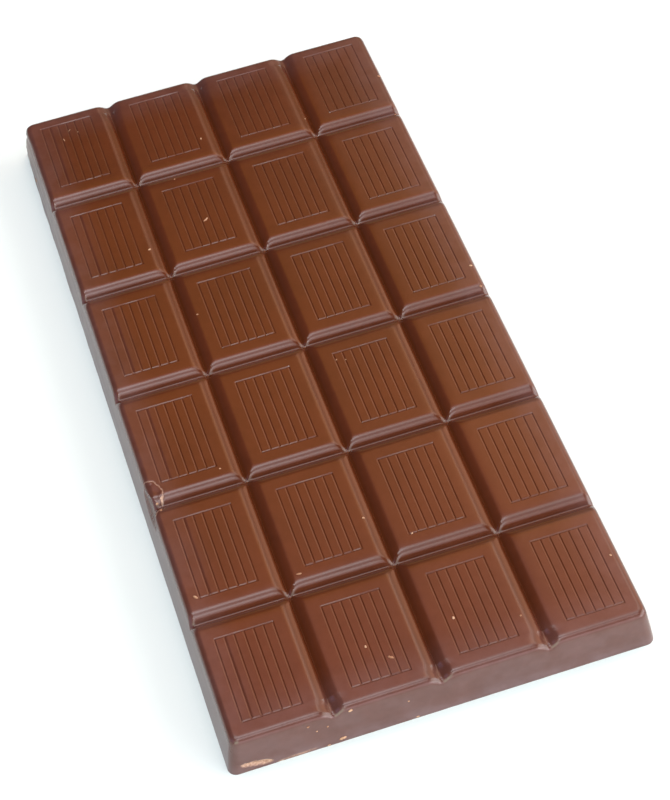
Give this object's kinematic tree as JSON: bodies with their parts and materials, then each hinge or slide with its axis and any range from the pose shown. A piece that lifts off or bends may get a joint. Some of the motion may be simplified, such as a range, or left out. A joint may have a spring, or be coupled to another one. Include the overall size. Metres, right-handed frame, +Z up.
{
  "type": "chocolate bar",
  "caption": "Moulded milk chocolate tablet: flat rectangular segments with an engraved frame of fine lines, parted by rounded break grooves, on one slab with leaning side walls.",
  "frame": {"origin": "centre of the tablet's flat base, on the surface that it lies on", "axes": "+Z up out of the segmented face, +Y along the tablet's length, +X across it"},
  "size_m": [0.0704, 0.1474, 0.0079],
  "materials": {
    "milk_chocolate": "smooth moulded milk chocolate with a soft satin gloss, faint bloom and scuffs"
  },
  "bodies": {
    "root": {"chocolate_bar": "milk_chocolate"}
  },
  "joints": []
}
